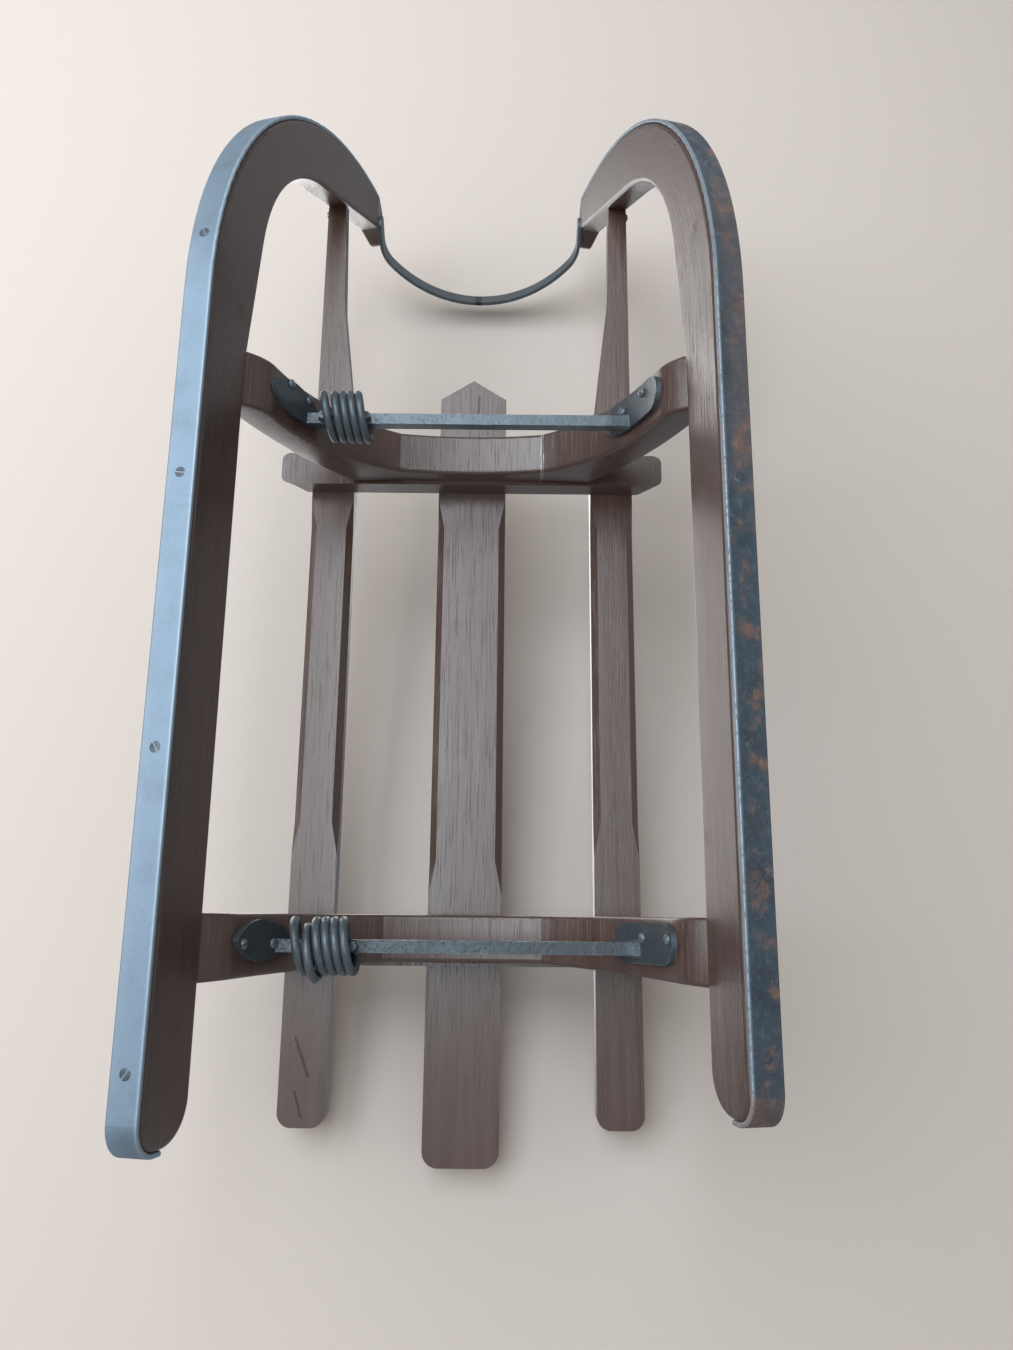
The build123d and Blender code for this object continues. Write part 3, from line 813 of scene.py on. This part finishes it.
plate_screws = []
for side, x, z, turn in (
        (-1, 0.114, 0.079, 0.4), (-1, 0.112, 0.098, 1.3),
        (1, 0.108, 0.103, 2.1), (1, 0.111, 0.081, 0.9),
        (-1, -0.262, 0.067, 1.8), (-1, -0.262, 0.095, 0.2),
        (1, -0.257, 0.094, 1.1), (1, -0.257, 0.066, 2.6)):
    place, normal = on_plate(side, x, z)
    plate_screws.append((place, normal, turn, PLATE_SCREW))
make_screws("plate_screws", plate_screws, screw_steel)

strip_screws = []
for side, along, turn in (
        (-1, 0.178, 0.9), (-1, 0.012, 1.4), (-1, -0.154, 0.5), (-1, -0.326, 2.5),
        (1, 0.251, 1.9), (1, 0.012, 0.3), (1, -0.150, 0.8), (1, -0.315, 2.2)):
    place, normal = on_sole(side, along)
    strip_screws.append((place, normal, turn, STRIP_SCREW))
make_screws("strip_screws", strip_screws, slat_screw_steel)

slat_screws = []
for bridge_x in (FRONT_X, REAR_X):
    for y, turn in ((-0.112, 0.7), (-0.014, 1.9), (0.014, 0.2), (0.112, 2.4)):
        place = (bridge_x - BOLSTER_SETBACK, y, SEAT_TOP)
        slat_screws.append((place, (0.0, 0.0, 1.0), turn + bridge_x, SLAT_SCREW))
for side in (-1, 1):
    place = (0.347, side * SIDE_SLAT_EDGE_Y, 0.204)
    slat_screws.append((place, (0.0, side, 0.0), 1.0, EDGE_SCREW))
make_screws("slat_screws", slat_screws, slat_screw_steel)

make_spring("front", FRONT_TIE_X, 5, 0.003, 0.0)
make_spring("rear", REAR_TIE_X, 6, 0.0035, 0.006)


# Stage: a floor seen from above, and a pale board behind the sled, seen from below

STAGE_SIZE = 12.0
BACKDROP_Z = 0.289              # where it crosses the middle of the sled
BACKDROP_TILT = radians(9.0)
FLOOR_COLOUR = (0.74, 0.73, 0.71, 1.0)
BACKDROP_COLOUR = (0.51, 0.470, 0.440, 1.0)


def stage_material(name, colour):
    """A pale surface seen from its front only, so that the camera sees through its back."""
    material, tree, output = new_material(name)
    surface = add_node(tree, "BsdfDiffuse", {"Color": colour})
    clear = add_node(tree, "BsdfTransparent")
    backfacing = add_node(tree, "NewGeometry").outputs["Backfacing"]
    mix = add_node(tree, "MixShader", {0: backfacing, 1: surface.outputs[0], 2: clear.outputs[0]})
    tree.links.new(mix.outputs[0], output.inputs[0])
    return material


def make_sheet(name, material, matrix):
    """A flat square of the stage."""
    data = bpy.data.meshes.new(name)
    half = STAGE_SIZE / 2
    corners = [(-half, -half, 0.0), (half, -half, 0.0), (half, half, 0.0), (-half, half, 0.0)]
    data.from_pydata(corners, [], [(0, 1, 2, 3)])
    data.materials.append(material)
    sheet = add_object(name, data)
    sheet.matrix_world = matrix
    sheet.visible_shadow = False
    sheet.visible_glossy = False


make_sheet("floor", stage_material("pale floor", FLOOR_COLOUR), Matrix.Identity(4))
make_sheet("backdrop", stage_material("pale backdrop", BACKDROP_COLOUR),
           Matrix.Translation((0.0, 0.0, BACKDROP_Z)) @ Matrix.Rotation(pi - BACKDROP_TILT, 4, "Y"))


def add_area_light(name, place, target, size, power, colour):
    """A soft square lamp that points at a target."""
    light = bpy.data.lights.new(name, "AREA")
    light.shape = "SQUARE"
    light.size = size
    light.energy = power
    light.color = colour
    lamp = add_object(name, light)
    lamp.location = place
    direction = Vector(target) - Vector(place)
    lamp.rotation_euler = direction.to_track_quat("-Z", "Y").to_euler()


add_area_light("top light", place=(0.6, -1.0, 2.2), target=(0.0, 0.0, 0.1), size=2.2,
               power=42.0, colour=(1.0, 0.98, 0.96))
add_area_light("light from below", place=(0.9, -1.25, -1.9), target=(0.9, -1.25, 0.0), size=2.7,
               power=95.0, colour=(0.88, 0.94, 1.0))


def make_world():
    """An even sky that lights the sled, and the pale grey that the camera sees instead of it."""
    world = bpy.data.worlds.new("studio")
    bpy.context.scene.world = world
    world.use_nodes = True
    tree = world.node_tree
    tree.nodes.clear()
    output = tree.nodes.new("ShaderNodeOutputWorld")
    ambient = add_node(tree, "Background", {"Color": (0.86, 0.93, 1.0, 1.0), "Strength": 0.38})
    seen = add_node(tree, "Background", {"Color": (0.9, 0.9, 0.9, 1.0), "Strength": 1.0})
    camera_ray = add_node(tree, "LightPath").outputs["Is Camera Ray"]
    mix = add_node(tree, "MixShader", {0: camera_ray, 1: ambient.outputs[0], 2: seen.outputs[0]})
    tree.links.new(mix.outputs[0], output.inputs[0])


make_world()

# Camera: below the sled, because the photograph shows it lying on its seat
LENS = 26.85
CAMERA_PLACE = (-0.244, 0.029, -0.555)
CAMERA_UP = (0.9726, 0.0, -0.2325)
ROLL = 0.0095                   # in radians

camera_data = bpy.data.cameras.new("camera")
camera_data.sensor_fit = "VERTICAL"
camera_data.sensor_height = 36.0
camera_data.lens = LENS
right = Vector((0.0, 1.0, 0.0))
up = Vector(CAMERA_UP)
turned_right = right * cos(ROLL) + up * sin(ROLL)
turned_up = up * cos(ROLL) - right * sin(ROLL)
back = turned_right.cross(turned_up)
rotation = Matrix((turned_right, turned_up, back)).transposed()
camera = add_object("camera", camera_data)
camera.matrix_world = Matrix.Translation(CAMERA_PLACE) @ rotation.to_4x4()
bpy.context.scene.camera = camera

bpy.context.scene.view_settings.view_transform = "Standard"
